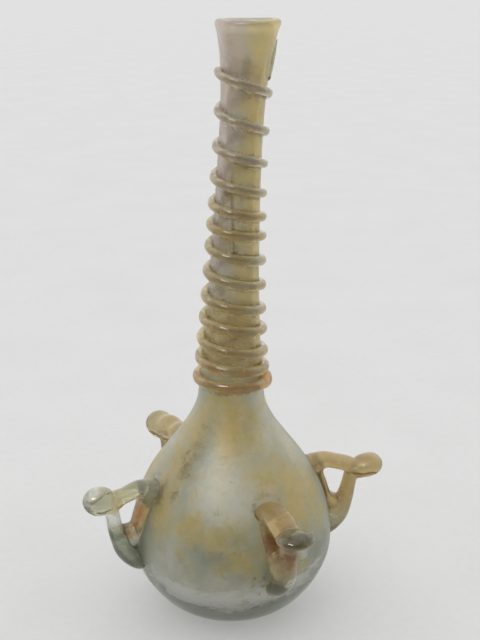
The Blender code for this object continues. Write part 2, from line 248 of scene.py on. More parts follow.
# Weathering, laid where the photographed flask shows it: heading in degrees, height in mm, half width and
# half height of the patch in mm, strength
OCHRE_PATCHES = (
    (-119, 87, 7, 13, 1.00), (-87, 85, 7, 8, 0.75), (-160, 82, 8, 9, 0.80), (-172, 67, 8, 14, 0.85),
    (-162, 55, 6, 12, 0.95), (-142, 51.5, 6.5, 6, 1.00), (-120, 46.5, 12, 5.5, 1.00), (-110, 41, 9, 6, 0.95),
    (-143.5, 40, 2.5, 3.5, 0.80), (-119, 37, 3.5, 4, 0.80), (-103, 36, 3.5, 5, 0.80), (-79, 66, 10, 9, 0.90),
    (-66, 57, 12, 12, 1.00), (-49, 52.5, 9, 12, 0.90), (-72, 31, 4.5, 6, 0.80), (-33, 66, 6, 8, 0.35),
    (-140, 92, 8, 6, 0.60), (20, 74, 14, 12, 0.85), (62, 55, 12, 14, 0.90), (120, 82, 13, 9, 0.85),
    (150, 56, 9, 12, 0.80), (35, 36, 10, 8, 0.75), (96, 30, 13, 7, 0.70), (72, 89, 7, 10, 0.85),
    (8, 47, 7, 6, 0.80), (118, 44, 8, 6, 0.75),
)
HAZE_PATCHES = (
    (-110, 90, 7, 6, 0.55), (-113, 62, 12, 13, 1.00), (-130, 60, 7, 8, 0.70), (-49, 93, 3.5, 8, 0.90),
    (-63, 86, 4, 9, 0.95), (-76, 79.5, 3.5, 7, 0.70), (-38, 72.5, 5, 8, 0.85), (-150, 35, 9, 7, 0.70),
    (-118, 28, 14, 5, 0.70), (42, 68, 10, 10, 0.90), (130, 68, 12, 10, 0.90), (0, 58, 8, 8, 0.70),
    (85, 72, 10, 9, 0.80), (168, 40, 8, 8, 0.70), (60, 30, 10, 6, 0.70), (25, 92, 5, 9, 0.80),
)
FLAKE_PATCHES = (
    (-142, 21.5, 9, 4.0, 1.3), (-119, 21, 10, 3.8, 1.3), (-94, 22, 10, 4.0, 1.3), (-158, 25.5, 6, 3.4, 1.2),
    (-76, 25, 6, 3.2, 1.1), (-60, 28, 5, 2.6, 0.8), (-70, 38.5, 2.2, 3.6, 1.15), (-62, 41, 2.0, 2.4, 0.90),
    (-20, 22, 13, 2.8, 1.0), (45, 21, 13, 2.6, 1.0), (105, 23, 11, 2.6, 1.0), (150, 21, 9, 2.6, 1.0),
)
# Where the film has gone low down and the dark glass shows
BARE_PATCHES = (
    (-158, 18.5, 6, 3.0, 1.50), (-170, 23, 5, 4.5, 1.20), (-128, 25, 5, 1.6, 0.45), (-52, 21, 6, 3, 0.90),
    (-97, 31, 2.2, 4.6, 1.10), (-4, 31, 7, 3.6, 0.75), (140, 30, 6, 3, 0.75),
)
# Grey smudges under the film
SMUDGE_PATCHES = (
    (-128, 41, 8, 3.6, 0.85), (-119, 38.5, 4, 2.6, 0.55), (-112, 47, 4.4, 2.8, 0.80),
    (-106, 43, 4.0, 3.0, 0.75), (-54, 34, 11, 7, 0.90), (-110, 32.5, 4.0, 2.6, 0.50),
    (-150, 78, 5, 3, 0.45), (-119, 72, 5, 3, 0.35), (-150, 35, 12, 5, 0.50), (-100, 58, 4, 5, 0.35),
    (30, 44, 7, 3.6, 0.80), (100, 61, 5, 3, 0.60), (66, 80, 4, 3, 0.45), (150, 38, 8, 5, 0.70),
)
# Brown stains, on the body and up the neck
STAIN_PATCHES = (
    (-157, 69, 3.0, 3.0, 0.95), (-151, 68, 1.6, 2.0, 0.80), (-157, 60, 1.6, 3.4, 0.95),
    (-150, 76, 4, 4.5, 0.62), (-163, 73, 3, 4, 0.55), (-143, 83, 3.5, 5, 0.50), (-141, 55.5, 1.8, 1.6, 0.55),
    (-169, 58, 1.6, 6, 1.0), (-59, 53, 1.1, 3.6, 1.00), (-102, 30, 1.4, 5.0, 0.70),
    (-99, 24.5, 1.0, 1.0, 1.00), (-116, 43.5, 3.6, 1.8, 0.55), (-126, 204, 4, 4, 0.55),
    (-112, 223, 5, 4.4, 0.66), (-118, 214, 4, 3.2, 0.64), (-150, 226, 4, 5, 0.66), (-92, 190, 2.4, 4, 0.75),
    (-150, 178, 3, 4, 0.70), (-135, 158, 4, 4, 0.70), (-118, 121, 4, 2, 0.60), (-140, 139, 3, 4, 0.55),
    (28, 62, 3.2, 3.4, 0.90), (135, 47, 3.0, 3.0, 0.80), (75, 40, 3.6, 2.2, 0.70), (104, 74, 2.4, 3.0, 0.70),
)
# Glints painted white, each a pale dot with a glassy pimple: heading in degrees, height and radius in mm
GLINTS = ((-114.6, 67.7, 0.50), (-113.9, 61.4, 0.42), (-117.1, 57.1, 0.30), (-133.5, 47.0, 0.46),
          (-126.0, 75.0, 0.26), (-96.0, 52.0, 0.28), (36.0, 58.0, 0.44), (112.0, 50.0, 0.40))
# Up the neck, heights in metres and headings in degrees: the thin dark seam inside it, and the border of
# its yellow and mauve films
SEAM_LINE = ((0.105, 0.154, 0.177, 0.215), (-124, -117, -132, -140))
FILM_BORDER = ((0.105, 0.154, 0.177, 0.200, 0.215, 0.232), (-124, -117, -122, -106, -102, -114))


def patches(table, heading, z):
    """The strongest of a table's patches at each heading (radians) and height (metres)."""
    reach = radius_at(z)
    out = np.zeros(len(z))
    for where, height, half_width, half_height, strength in table:
        across = turned(heading - math.radians(where)) * reach * 1000 / half_width
        along = (z * 1000 - height) / half_height
        out = np.maximum(out, strength * np.exp(-0.7 * (across ** 2 + along ** 2)))
    return out


# Spiral trail
def trail_climb(turn):
    """Height climbed after some turns. The first turn starts out level."""
    turn = np.asarray(turn, float)
    whole = np.minimum(turn.astype(int), len(TURN_RISES) - 1)
    part = turn - whole
    first = np.clip((part - LEVEL_START) / (1 - LEVEL_START), 0, None)
    part = np.where(whole == 0, first * first * (2 - first), part)
    sums = np.concatenate([[0], np.cumsum(TURN_RISES)])
    return sums[whole] + np.array(TURN_RISES)[whole] * part


def trail_height(turn):
    return TRAIL_START_Z + (TRAIL_END_Z - TRAIL_START_Z) * trail_climb(turn) / trail_climb(TRAIL_TURNS)


def trail_stations():
    """Rows of heading, height, width and depth along the trail and its tail."""
    steps = round(TRAIL_TURNS * TRAIL_STEPS_PER_TURN)
    share = np.arange(steps + 1) / steps
    turn = TRAIL_TURNS * share
    heading = TRAIL_START_HEADING - 2 * math.pi * turn
    z = trail_height(turn) - TRAIL_TILT * np.cos(heading - LEAN_HEADING)
    grow = np.minimum(1.0, 0.6 + 4.0 * turn)
    width = (TRAIL_START_WIDTH + (TRAIL_END_WIDTH - TRAIL_START_WIDTH) * share) * grow
    depth = (TRAIL_START_DEPTH + (TRAIL_END_DEPTH - TRAIL_START_DEPTH) * share) * grow
    z += DROP_RISE * (1 - smooth(0.03, 0.13, turn))
    rows = np.stack([heading, z, width, depth], 1)
    last_heading, last_z, last_width, last_depth = rows[-1]
    share = np.arange(1, TAIL_LEVEL_STEPS + 1) / TAIL_LEVEL_STEPS
    ease = share * share * (3 - 2 * share)
    level = np.stack([last_heading - TAIL_TURN * share, last_z - TAIL_DIP * ease,
                      last_width + (TAIL_WIDTH - last_width) * ease,
                      last_depth + (TAIL_DEPTH - last_depth) * ease], 1)
    start = last_heading - TAIL_TURN
    low = last_z - TAIL_DIP
    share = np.arange(1, TAIL_CLIMB_STEPS + 1) / TAIL_CLIMB_STEPS
    fade = 1 - 0.70 * share ** 4
    climb = np.stack([start - TAIL_DRIFT * np.sin(share * math.pi / 2),
                      low + (TAIL_TOP_Z - low) * share ** 1.3, TAIL_WIDTH * fade, TAIL_DEPTH * fade], 1)
    return np.vstack([rows, level, climb])


STATIONS = trail_stations()


def trail_gap(heading, z):
    """Signed distance from each point of the wall to the edge of the nearest turn, and that turn's side:
    above 0 where the turn lies above the point."""
    nearest = np.full(len(z), 1.0)
    side = np.zeros(len(z))
    main = STATIONS[:-(TAIL_LEVEL_STEPS + TAIL_CLIMB_STEPS)]
    main_laps = (TRAIL_START_HEADING - main[:, 0]) / (2 * math.pi)
    for k in range(math.ceil(TRAIL_TURNS) + 1):
        lap = (TRAIL_START_HEADING - heading) / (2 * math.pi) % 1.0 + k
        lap_z = np.interp(lap, main_laps, main[:, 1], right=9.0)
        width = np.interp(lap, main_laps, main[:, 2])
        gap = np.abs(z - lap_z) - width / 2
        closer = gap < nearest
        nearest = np.where(closer, gap, nearest)
        side = np.where(closer, lap_z - z, side)
    return nearest, side


def vessel_profile():
    """From the middle of the underside up the outside, over the fire-rounded lip and down the inside to the
    middle of its floor: rows of (radius, height), and a share that is 0 outside and 1 inside."""
    outer = outline(40, 64, 190, 34)
    wall = wall_at(outer[:, 1])
    along = np.gradient(outer, axis=0)
    along /= np.linalg.norm(along, axis=1)[:, None]
    normal = np.stack([along[:, 1], -along[:, 0]], 1)
    normal[0] = (0, -1)
    inner = outer - normal * wall[:, None]
    inner[-1] = (outer[-1, 0] - NECK_WALL, outer[-1, 1])
    middle = (outer[-1] + inner[-1]) / 2
    half = (outer[-1, 0] - inner[-1, 0]) / 2
    turn = np.linspace(0, math.pi, 12)[1:-1]
    lip = np.stack([middle[0] + half * np.cos(turn), middle[1] + NECK_WALL / 2 * np.sin(turn)], 1)
    # the underside is kicked up, with the low ring of the pontil mark
    under_r = np.linspace(0.0006, FOOT_RADIUS, 22)[:-1]
    kick = 0.0011 * (1 - smooth(0.0, 0.0145, under_r)) + 0.0005 * np.exp(-((under_r - 0.0072) / 0.0012) ** 2)
    under = np.stack([under_r, kick], 1)
    floor_r = np.linspace(inner[0, 0], 0.0006, 16)[1:]
    floor = np.stack([floor_r, BASE_THICKNESS + 0.0006 * (1 - (floor_r / inner[0, 0]) ** 2)], 1)
    profile = np.vstack([under, outer, lip, inner[::-1], floor])
    side = np.concatenate([np.zeros(len(under) + len(outer)), np.linspace(0, 1, len(lip)),
                           np.ones(len(inner) + len(floor))])
    return profile, side


def heading_along(line, z):
    """The heading of a line up the neck at each height."""
    heights, headings = line
    return np.interp(z, heights, np.radians(headings))


def vessel_weathering(points, r, z, h, is_in):
    """Where each kind of film, stain, dirt and painted shade lies on the vessel."""
    patchy = waves(points, 0.011, 3, 4)
    h_turned = turned(h)
    ochre = patches(OCHRE_PATCHES, h, z) * (0.95 + 0.5 * patchy)
    haze = patches(HAZE_PATCHES, h, z) * (0.95 + 0.4 * patchy)
    flake = patches(FLAKE_PATCHES, h, z) * (1.0 + 0.8 * waves(points, 0.007, 4, 3))
    stain = patches(STAIN_PATCHES, h, z) * (0.9 + 0.6 * patchy)
    smudge = patches(SMUDGE_PATCHES, h, z) * (0.9 + 0.8 * waves(points, 0.006, 15, 3))
    # the band of bare glass along the bottom rises higher to the sides of the front view; its darker tint,
    # and its share over the low body, are partly the glass's own colour and partly painted shade
    band_top = 0.0165 + 0.007 * smooth(-1.9, -0.7, h_turned) * (1 - smooth(0.2, 0.8, h_turned))
    band_top += 0.0025 * smooth(2.2, 2.8, np.abs(h_turned))
    clear = 1 - smooth(-0.003, 0.003, z - band_top + 0.005 * patchy)
    bare = patches(BARE_PATCHES, h, z) * (0.8 + 0.8 * waves(points, 0.008, 6, 3))
    clear = np.maximum(clear, 0.85 * bare)
    clear = np.maximum(clear, 0.24 * (1 - smooth(0.026, 0.044, z)))
    # neck: a yellow film on one side, mauve on the other, parted by a thin dark seam inside
    on_neck = smooth(0.100, 0.108, z)
    neck_stain = (1 - is_in) * on_neck * smooth(0.05, 0.55, waves(points, 0.0045, 14, 3))
    neck_stain *= 0.50 - 0.2 * smooth(0.150, 0.200, z)
    from_seam = turned(h - heading_along(SEAM_LINE, z))
    from_border = turned(h - heading_along(FILM_BORDER, z))
    drift = from_border + 0.75 * waves(points, 0.009, 12, 3)
    outside = 1 - 0.65 * is_in
    low_neck = 1 - smooth(0.126, 0.146, z)
    yellow = outside * on_neck * smooth(-0.95, 0.35, drift) * (1 - smooth(2.0, 3.0, from_border))
    yellow = np.maximum(yellow, 0.75 * outside * on_neck * low_neck)
    yellow *= 1.15 + 0.4 * waves(points, 0.006, 13, 3)
    mauve = outside * on_neck * (1 - smooth(-0.60, 0.70, drift)) * smooth(-2.8, -1.8, from_seam)
    mauve *= 1 - 0.75 * low_neck
    mauve = np.maximum(mauve, 0.9 * outside * smooth(0.205, 0.222, z) * (1 - smooth(-0.5, 0.9, drift)))
    seam = np.exp(-(from_seam * r / 0.00030) ** 2) * smooth(0.150, 0.158, z) * (1 - smooth(0.180, 0.188, z))
    # dirt and painted shade along the trail, darkest under its turns, in a collar under its first turn, and
    # round the roots of the handles
    gap, above = trail_gap(h, z)
    near = (z > NECK_FOOT_Z) * (z < 0.224) * (1 - is_in)
    # darker at the edges of the turns, and more where a turn lies above: dirt with painted shade
    crevice = near * np.exp(-(np.maximum(gap, 0) / 0.0012) ** 2) * (0.30 + 0.35 * (above > 0))
    collar = (1 - is_in) * np.exp(-((z - 0.0980) / 0.0009) ** 2) * (0.65 + 0.8 * waves(points, 0.006, 5, 3))
    # a darker ring round each handle's root: dirt with painted shade
    ring = np.zeros(len(z))
    for form in HANDLES.values():
        across = turned(h - math.radians(form["heading"])) * radius_at(z) / (0.75 * STRAP_WIDTH)
        along = (z - form["strap_z"]) / (0.80 * STRAP_THICKNESS)
        ring = np.maximum(ring, np.exp(-((np.hypot(across, along) - 0.93) / 0.20) ** 2))
    ring = ring * (1 - is_in) * (0.42 + 0.5 * waves(points, 0.005, 16, 2))
    return {"ochre": np.maximum(ochre, yellow), "haze": haze, "flake": flake,
            "stain": np.maximum(np.maximum(stain, 0.85 * collar), neck_stain), "clear": clear,
            "mauve": mauve, "seam": seam, "gloss": on_neck, "smudge": smudge,
            "dirt": np.maximum(np.maximum(crevice * 0.62, 0.40 * collar), ring)}


def build_vessel(material):
    """The blown wall: outside, lip and inside in one skin, a little uneven as blown glass is."""
    profile, side = vessel_profile()
    rows, count = len(profile), VESSEL_SIDES
    r = np.repeat(profile[:, 0], count)
    z = np.repeat(profile[:, 1], count)
    is_in = np.repeat(side, count)
    h = np.tile(2 * math.pi * np.arange(count) / count, rows)
    ax, ay = axis_at(z)
    plain = np.stack([ax + r * np.cos(h), ay + r * np.sin(h), z], 1)
    uneven = waves(plain, 0.020, 1, 2)
    uneven_in = waves(plain, 0.013, 2, 2)
    swell = smooth(0.004, 0.014, z)
    # under the trail the wall is nearly even, so that the trail's edge stays clean
    calm = 1 - 0.85 * smooth(0.090, 0.098, z) * (1 - smooth(0.222, 0.228, z))
    push = (0.00016 * calm * uneven * (1 - is_in) + 0.00042 * uneven_in * is_in) * swell
    push -= 0.00016 * calm * (1 - is_in) * swell
    bead = np.exp(-((z - 0.2384) / 0.0016) ** 2)
    push += 0.00036 * bead * np.cos(np.pi * is_in)
    lift = smooth(0.2325, 0.2388, z) * (0.00022 * np.cos(2 * h + 0.6) - 0.00022)
    points = np.stack([ax + (r + push) * np.cos(h), ay + (r + push) * np.sin(h), z + lift], 1)
    return mesh_piece("vessel_weathered", points, tube_faces(rows, count), material,
                      vessel_weathering(points, r, z, h, is_in))


def build_trail(material):
    """The spiral trail: a full round rope sunk a little into the wall, thick and thin as it was drawn."""
    rows = STATIONS
    count = len(rows)
    heading, z, width, depth = rows.T
    ax, ay = axis_at(z)
    reach = radius_at(z)
    spine = np.stack([ax + reach * np.cos(heading), ay + reach * np.sin(heading), z], 1)
    uneven = waves(spine, 0.009, 7, 2)
    width = width * 0.90 * (1 + 0.10 * uneven)
    depth = depth * (1 + 0.05 * waves(spine, 0.012, 8, 2)) * 0.985
    ends = np.minimum(1.0, np.arange(count) / 5.0 + 0.25)
    # the trail starts in a fat drop
    drop = np.exp(-((np.arange(count) / TRAIL_STEPS_PER_TURN - 0.085) / 0.07) ** 2)
    ends *= 1 + 0.42 * drop
    width, depth = width * ends, depth * ends
    dz = np.gradient(z)
    dh = np.gradient(heading) * reach
    length = np.hypot(dz, dh)
    along_h, along_z = dh / length, dz / length
    axis_out = 0.56 * depth
    centre_out = depth - axis_out
    open_turn = np.arccos(np.clip(-(centre_out - TRAIL_LIFT) / axis_out, -0.97, 1))
    points = np.zeros((count, TRAIL_SECTION, 3))
    base = np.zeros((count, TRAIL_SECTION))
    for k in range(TRAIL_SECTION):
        phi = open_turn * (2 * k / (TRAIL_SECTION - 1) - 1)
        aside = width / 2 * np.sin(phi)
        out = centre_out + axis_out * np.cos(phi)
        at_z = z - along_h * aside
        at_heading = heading + along_z * aside / reach
        wall = radius_at(at_z)
        cx, cy = axis_at(at_z)
        points[:, k] = np.stack([cx + (wall + out) * np.cos(at_heading),
                                 cy + (wall + out) * np.sin(at_heading), at_z], 1)
        base[:, k] = 1 - np.clip(out / 0.0010, 0, 1)
    flat = points.reshape(-1, 3)
    zz = flat[:, 2]
    patchy = waves(flat, 0.008, 10, 3)
    streak = waves(flat * np.array([1, 1, 2.2]), 0.013, 11, 3)
    low = 1 - smooth(0.100, 0.150, zz)
    high = smooth(0.165, 0.196, zz + 0.008 * patchy)
    ochre = np.clip(0.62 + 0.25 * low + 0.5 * streak, 0, 1)
    rust = np.clip(1.2 * (1 - smooth(0.098, 0.118, zz)) * (0.4 + patchy), 0, 1)
    rust = np.maximum(0.90 * rust, 0.9 * np.repeat(drop, TRAIL_SECTION))
    # along its level part the tail turns to clearer glass
    tail = smooth(count - TAIL_CLIMB_STEPS - 20, count - TAIL_CLIMB_STEPS,
                  np.repeat(np.arange(count), TRAIL_SECTION))
    # the underside, where the rope meets the wall, is painted darker: dirt and painted shade
    return mesh_piece("neck_thread_round", flat, tube_faces(count, TRAIL_SECTION), material, {
        "ochre": ochre * (1 - tail) * (1 - 0.65 * high), "haze": np.clip(0.35 - streak, 0, 1), "stain": rust,
        "mauve": 0.7 * high * (1 - tail), "dirt": base.reshape(-1) * 0.55, "clear": 0.6 * tail})


def smooth_stations(stations, per_span):
    """A Catmull-Rom curve through given stations."""
    rows = np.array(stations, float)
    a = np.vstack([rows[:1], rows[:-1]])[:-1]
    b, c = rows[:-1], rows[1:]
    d = np.vstack([rows[1:], rows[-1:]])[1:]
    t = (np.arange(per_span) / per_span)[None, :, None]
    a, b, c, d = (x[:, None, :] for x in (a, b, c, d))
    curve = 0.5 * (2 * b + (c - a) * t + (2 * a - 5 * b + 4 * c - d) * t * t
                   + (3 * b - a - 3 * c + d) * t ** 3)
    return np.vstack([curve.reshape(-1, rows.shape[1]), rows[-1:]])


def rod(stations, per_span=8):
    """Points and faces of a closed oval rod in the XZ plane, from (x, z, thickness, width) stations."""
    curve = smooth_stations(stations, per_span)
    along = np.gradient(curve[:, :2], axis=0)
    along /= np.linalg.norm(along, axis=1)[:, None]
    turn = 2 * math.pi * np.arange(ROD_SIDES) / ROD_SIDES
    points = np.zeros((len(curve), ROD_SIDES, 3))
    points[:, :, 0] = curve[:, None, 0] + along[:, None, 1] * curve[:, None, 2] / 2 * np.cos(turn)
    points[:, :, 2] = curve[:, None, 1] - along[:, None, 0] * curve[:, None, 2] / 2 * np.cos(turn)
    points[:, :, 1] = curve[:, None, 3] / 2 * np.sin(turn)
    return points.reshape(-1, 3), tube_faces(len(curve), ROD_SIDES)


def slot_height(side):
    """Height of the fold's slot in the knob."""
    form = HANDLES[side]
    return form["knob_z"] - 0.18 * form["knob_height"]


def handle_rods(side):
    """Strap with knob, lower limb, and the strand that runs up the body between them, at heading 0."""
    form = HANDLES[side]
    strap_z, knob_z, knob_height = form["strap_z"], form["knob_z"], form["knob_height"]
    knob_tip = BODY_RADIUS + form["knob_reach"]
    knob_back = knob_tip - KNOB_LENGTH
    limb_x = BODY_RADIUS + form["limb_reach"]
    root, pad = radius_at(strap_z), radius_at(PAD_FOOT_Z)
    full = STRAP_FULLNESS[side] * STRAP_THICKNESS
    raised = strap_z + STRAP_RAISE[side]
    broad = STRAP_BREADTH[side] * STRAP_WIDTH
    tall, wide = KNOB_FLATNESS[side] * knob_height, KNOB_BREADTH[side] * KNOB_WIDTH
    run_back = KNOB_RUN[side]
    strap = (
        (root - 0.0010, strap_z - 0.0016, 1.30 * full, 1.42 * STRAP_WIDTH),
        (root + 0.0026, raised - 0.0006, 1.20 * full, max(1.22 * STRAP_WIDTH, broad)),
        (root + 0.0066, raised + 0.0001, 1.08 * full, broad),
        (root + 0.0115, raised - 0.0012, full, broad),
        (knob_back - 0.0030, 0.5 * (raised + knob_z) - 0.0010 * (1 - run_back),
         1.05 * full + 0.9 * run_back * (tall - full), broad),
        (knob_back + 0.0005, knob_z - 0.0012 * (1 - run_back),
         0.5 * (full + tall) + 0.5 * run_back * (tall - full), 0.5 * (broad + 0.85 * wide)),
        (knob_tip - 0.0085, knob_z - 0.0004, tall, wide),
        (knob_tip - 0.0045, knob_z + 0.0002, 0.97 * tall, 0.96 * wide),
        (knob_tip - 0.0016, knob_z + 0.0003, 0.66 * tall, 0.64 * wide),
        (knob_tip - 0.0001, knob_z + 0.0003, 0.20 * tall, 0.20 * wide))
    limb_top = slot_height(side) + 0.0004
    limb = (
        (pad + 0.0002, PAD_FOOT_Z + 0.0002, 0.0022, 0.5 * PAD_WIDTH),
        (pad + 0.0020, PAD_FOOT_Z + 0.0036, 1.10 * LIMB_THICKNESS, 0.92 * PAD_WIDTH),
        (limb_x - 0.0038, PAD_FOOT_Z + 0.0095, 1.35 * LIMB_THICKNESS, PAD_WIDTH),
        (limb_x - 0.0010, LOOP_FLOOR_Z - 0.0025, 1.15 * LIMB_THICKNESS, 0.5 * (PAD_WIDTH + LIMB_WIDTH)),
        (limb_x + 0.0004, LOOP_FLOOR_Z + 0.0030, LIMB_THICKNESS, LIMB_WIDTH),
        (limb_x + 0.0014, limb_top - 0.0028, 0.95 * LIMB_THICKNESS, LIMB_WIDTH),
        (limb_x + 0.0022, limb_top, 0.95 * LIMB_THICKNESS, 1.1 * LIMB_WIDTH))
    middle_z = 0.5 * (strap_z + LOOP_FLOOR_Z)
    under_z = LOOP_FLOOR_Z - 0.0050
    foot_z = PAD_FOOT_Z + 0.0080
    strand = STRAND_FULLNESS[side] * STRAND_THICKNESS
    strand_run = (
        (root + 0.0046, strap_z + 0.0002, 0.8 * STRAND_THICKNESS, 0.9 * STRAND_WIDTH),
        (root + 0.0034, strap_z - 0.0040, 0.95 * strand, 1.25 * STRAND_WIDTH),
        (radius_at(middle_z) + 0.3 * strand, middle_z - 0.0010, strand, 1.25 * STRAND_WIDTH),
        (radius_at(LOOP_FLOOR_Z) + 0.33 * strand, LOOP_FLOOR_Z, 1.05 * strand, 1.1 * STRAND_WIDTH),
        (radius_at(under_z) + 0.0038, under_z, 2.3 * STRAND_THICKNESS, STRAND_WIDTH),
        (radius_at(foot_z) + 0.0030, foot_z, 1.5 * STRAND_THICKNESS, STRAND_WIDTH))
    web_z = LOOP_FLOOR_Z - WEB_DROP[side]
    web = (
        (radius_at(web_z) + 0.0006, web_z + 0.0004, 1.1 * WEB_THICKNESS, 0.9 * STRAND_WIDTH),
        (0.5 * (radius_at(web_z) + limb_x), web_z, WEB_THICKNESS, 0.8 * STRAND_WIDTH),
        (limb_x, web_z + 0.0004, 1.1 * WEB_THICKNESS, 0.8 * STRAND_WIDTH))
    return [rod(strap), rod(limb), rod(strand_run), rod(web)]


def remeshed(parts):
    """One even skin round overlapping closed parts, as point and face arrays."""
    points, faces = [], []
    start = 0
    for part_points, part_faces in parts:
        points.append(part_points)
        faces += [tuple(i + start for i in face) for face in part_faces]
        start += len(part_points)
    data = solid_mesh("rough_handle", np.vstack(points), faces)
    item = placed("rough_handle", data)
    step = item.modifiers.new("even", "REMESH")
    step.mode = "VOXEL"
    step.voxel_size = VOXEL
    soften = item.modifiers.new("soften", "SMOOTH")
    soften.factor = 0.5
    soften.iterations = SOFTEN_ROUNDS
    evaluated = item.evaluated_get(bpy.context.evaluated_depsgraph_get())
    result = evaluated.to_mesh()
    out = np.zeros(len(result.vertices) * 3)
    result.vertices.foreach_get("co", out)
    out_faces = [tuple(f.vertices) for f in result.polygons]
    evaluated.to_mesh_clear()
    bpy.data.objects.remove(item, do_unlink=True)
    bpy.data.meshes.remove(data)
    return out.reshape(-1, 3), out_faces


# Patches of tint on each handle, in its own frame: distance from the axis, sideways place and height of the
# patch's middle, how far it reaches over the rod's surface, all in mm, and its strength
# On the handles the bare-glass patches are painted shade, the dark that thick glass refracts; the flake
# patches are pale flaking film and painted highlights
HANDLE_PATCHES = {
    "left": {"ochre": ((42, 0, 52, 3.5, 1.0), (40, 0, 46, 4.5, 1.1), (47, 0, 43, 1.5, 1.0),
                       (51, 0, 55, 3.0, 0.8), (55, 0, 56, 2.5, 0.6)),
             "stain": ((42, 0, 49, 2.5, 0.9), (45, 0, 43, 2.5, 0.9), (54.5, 0, 55, 1.1, 1.2),
                       (35.5, 0, 57, 1.6, 0.72)),
             "clear": ((51, 0, 41.5, 1.5, 1.1), (48, 0, 34, 4, 0.8), (44, 0, 28, 5, 1.1),
                       (35.5, 0, 57, 1.3, 1.1), (63, 0, 53, 2, 0.8)),
             "flake": ((53, 0, 48.5, 1.8, 1.1), (62, 0, 61, 2, 0.6))},
    "front": {"ochre": ((37, 0, 60, 7, 1.1), (46, 0, 58, 6, 1.1), (50, 0, 46, 4, 0.7), (42, 0, 47, 7, 0.9),
                        (43, 4, 38, 4, 0.6)),
              "stain": ((51, 0, 46, 3, 1.0), (43, -4, 46, 2.5, 0.9), (54, 0, 52, 1.2, 0.7)),
              "clear": ((61, 0, 56, 5.0, 1.1), (49, -4.5, 31, 2.4, 1.3), (47, 0, 26, 1.5, 0.7)),
              "flake": ((50, 5.5, 31, 1.2, 1.0), (50, 2, 34, 0.8, 0.6))},
    "right": {"ochre": ((38, 0, 58, 7, 1.1), (46, 0, 58, 7, 1.1), (55, 0, 57, 7, 1.1), (64, 0, 55, 5, 0.9),
                        (44, 0, 47, 7, 1.1), (54, 0, 46, 6, 0.9), (45, 0, 40, 4, 1.1)),
              "stain": ((39, 0, 54, 2.0, 0.9), (43, 0, 46, 2.2, 0.9), (46, 0, 41, 2, 0.9),
                        (57, 0, 51, 1.0, 0.9)),
              "clear": ((50, 0, 30, 3, 0.6), (46, 0, 25, 4, 0.7), (67.5, 0, 54, 1.0, 0.4)),
              "flake": ((44, 0, 34, 1.5, 0.4),)},
    "back": {"ochre": ((38, 0, 60, 7, 1.1), (48, 0, 59, 7, 1.0), (58, 0, 57, 6, 0.8), (44, 0, 47, 7, 0.8)),
             "stain": ((44, 0, 52, 2, 0.8), (55, 0, 55, 0.8, 0.9)),
             "clear": ((50, 0, 32, 5, 0.7), (46, 0, 26, 5, 0.7), (66, 0, 58, 1.5, 0.6)),
             "flake": ((54, 0, 46, 2, 0.3),)},
}


def build_handle(side, material):
    """One folded trail: an even skin, pressed to the body, with the crease of the fold round its knob."""
    points, faces = remeshed(handle_rods(side))
    form = HANDLES[side]
    seed = 20 + sorted(HANDLES).index(side)
    x, y, z = points.T
    crease_z = slot_height(side) + 0.0003 * np.sin(x * 900 + seed)
    loop_x = BODY_RADIUS + form["limb_reach"] - 0.5 * LIMB_THICKNESS
    end_x = BODY_RADIUS + form["knob_reach"] - 0.6 * FOLD_SLOT_END
    run = smooth(loop_x - 0.001, loop_x + 0.001, x) * (1 - smooth(end_x - 0.003, end_x, x))
    crease = run * np.exp(-((z - crease_z) / 0.00042) ** 2)
    y = y * (1 - CREASE_DEPTH[side] * crease)
    # the rounded backs of the folds bulge a little either side of the crease
    points = np.stack([x, y, z], 1)
    lump = waves(points, 0.006, seed, 2)
    middle = np.stack([x, np.zeros(len(x)), np.full(len(x), form["knob_z"])], 1)
    away = points - middle
    away /= np.maximum(np.linalg.norm(away, axis=1), 1e-6)[:, None]
    points = points + away * (0.00013 * lump + 0.0001)[:, None]
    angle = math.radians(form["heading"])
    px, py, pz = points.T
    wx = px * math.cos(angle) - py * math.sin(angle)
    wy = px * math.sin(angle) + py * math.cos(angle)
    ax, ay = axis_at(pz)
    h = np.arctan2(wy - ay, wx - ax)
    reach = np.hypot(wx - ax, wy - ay)
    wall = radius_at(pz) - EMBED
    off = reach - wall
    reach = np.maximum(reach, wall)
    world = np.stack([ax + reach * np.cos(h), ay + reach * np.sin(h), pz], 1)
    touch = np.exp(-(np.maximum(off, 0) / 0.0009) ** 2)
    patchy = waves(world, 0.006, seed + 4, 3)
    fields = {}
    for key, table in HANDLE_PATCHES[side].items():
        value = np.zeros(len(px))
        for at_x, at_y, at_z, size, strength in table:
            # from the rod's surface, half a limb off its middle
            away_mm = np.sqrt((px * 1000 - at_x) ** 2 + (py * 1000 - at_y) ** 2 + (pz * 1000 - at_z) ** 2)
            d = np.maximum(away_mm - 500 * LIMB_THICKNESS, 0) / size
            value = np.maximum(value, strength * np.exp(-0.8 * d * d))
        fields[key] = value * (0.9 + 0.6 * patchy)
    fields["haze"] = 0.3 + 0.6 * patchy
    # the crease of the fold and the foot where the handle meets the wall are painted darker: dirt and painted
    # shade
    fields["dirt"] = np.maximum(crease * CREASE_DIRT[side], 0.6 * touch * (0.7 + patchy))
    return mesh_piece(f"handle_{side}_folded", world, faces, material, fields)


# Materials
def linear(red, green, blue):
    """A screen colour of 0 to 255 as the linear colour that nodes use."""

    def channel(value):
        return value / 255 / 12.92 if value <= 10.3 else ((value / 255 + 0.055) / 1.055) ** 2.4

    return channel(red), channel(green), channel(blue), 1


